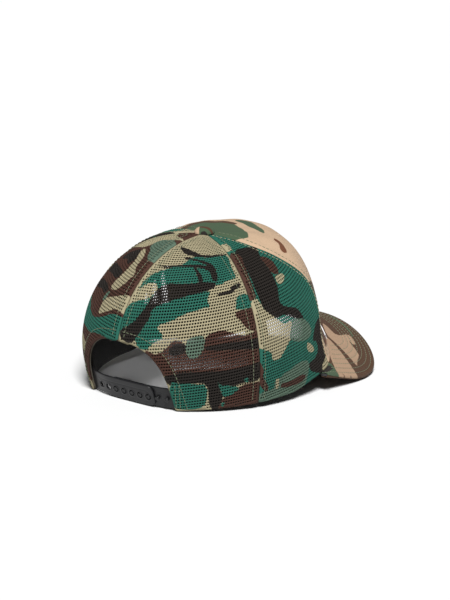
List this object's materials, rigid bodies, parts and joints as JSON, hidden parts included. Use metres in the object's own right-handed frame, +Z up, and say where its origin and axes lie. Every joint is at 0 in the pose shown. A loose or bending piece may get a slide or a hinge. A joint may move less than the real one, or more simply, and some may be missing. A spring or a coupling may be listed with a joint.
{
  "type": "trucker cap",
  "caption": "Trucker cap with cloth front panel, mesh sides and back, curved visor, covered button and adjustable snap strap over an arched back opening.",
  "frame": {"origin": "on the resting surface, under the middle of the cap's box", "axes": "+Z up, visor towards -Y, wearer's left towards +X"},
  "size_m": [0.1756, 0.2564, 0.1246],
  "materials": {
    "front_twill": "cotton twill, camouflage print",
    "visor_twill": "cotton twill, camouflage print, rows of stitching",
    "camo_mesh": "polyester mesh, camouflage print",
    "foam": "thin foam",
    "seam_tape": "woven tape",
    "sweatband_cloth": "cotton twill",
    "strap_plastic": "satin moulded",
    "board_plastic": "plain moulded",
    "button_metal": "pressed",
    "label_cloth": "woven, blank"
  },
  "bodies": {
    "crown": {"front_panel": "front_twill", "front_foam_backing": "foam", "side_mesh_right": "camo_mesh", "side_mesh_left": "camo_mesh", "back_mesh_right": "camo_mesh", "back_mesh_left": "camo_mesh", "arch_facing": "camo_mesh", "front_seam_tape_right": "seam_tape", "front_seam_tape_left": "seam_tape", "side_seam_tape_right": "seam_tape", "side_seam_tape_left": "seam_tape", "back_seam_tape": "seam_tape", "sweatband": "sweatband_cloth", "visor_top_cover": "visor_twill", "visor_board": "board_plastic", "visor_under_cover": "visor_twill", "button_cover": "front_twill", "button_shell": "button_metal", "button_backing_disc": "button_metal", "button_rivet": "button_metal", "strap_tab_left": "strap_plastic", "strap_tab_right": "strap_plastic", "side_label": "label_cloth"},
    "strap_left": {"strap_left": "strap_plastic"},
    "strap_right": {"strap_right": "strap_plastic"}
  },
  "joints": [
    {"name": "strap_left_swing", "type": "hinge", "parent": "crown", "child": "strap_left", "pos_m": [0.0386, 0.10624, 0.01075], "axis": [0, -0.3725, -0.928], "range_deg": [0, 50], "stiffness_Nm_per_rad": 0.02},
    {"name": "strap_right_swing", "type": "hinge", "parent": "crown", "child": "strap_right", "pos_m": [-0.0386, 0.10624, 0.01075], "axis": [0, -0.3725, -0.928], "range_deg": [0, 35], "stiffness_Nm_per_rad": 0.02}
  ]
}
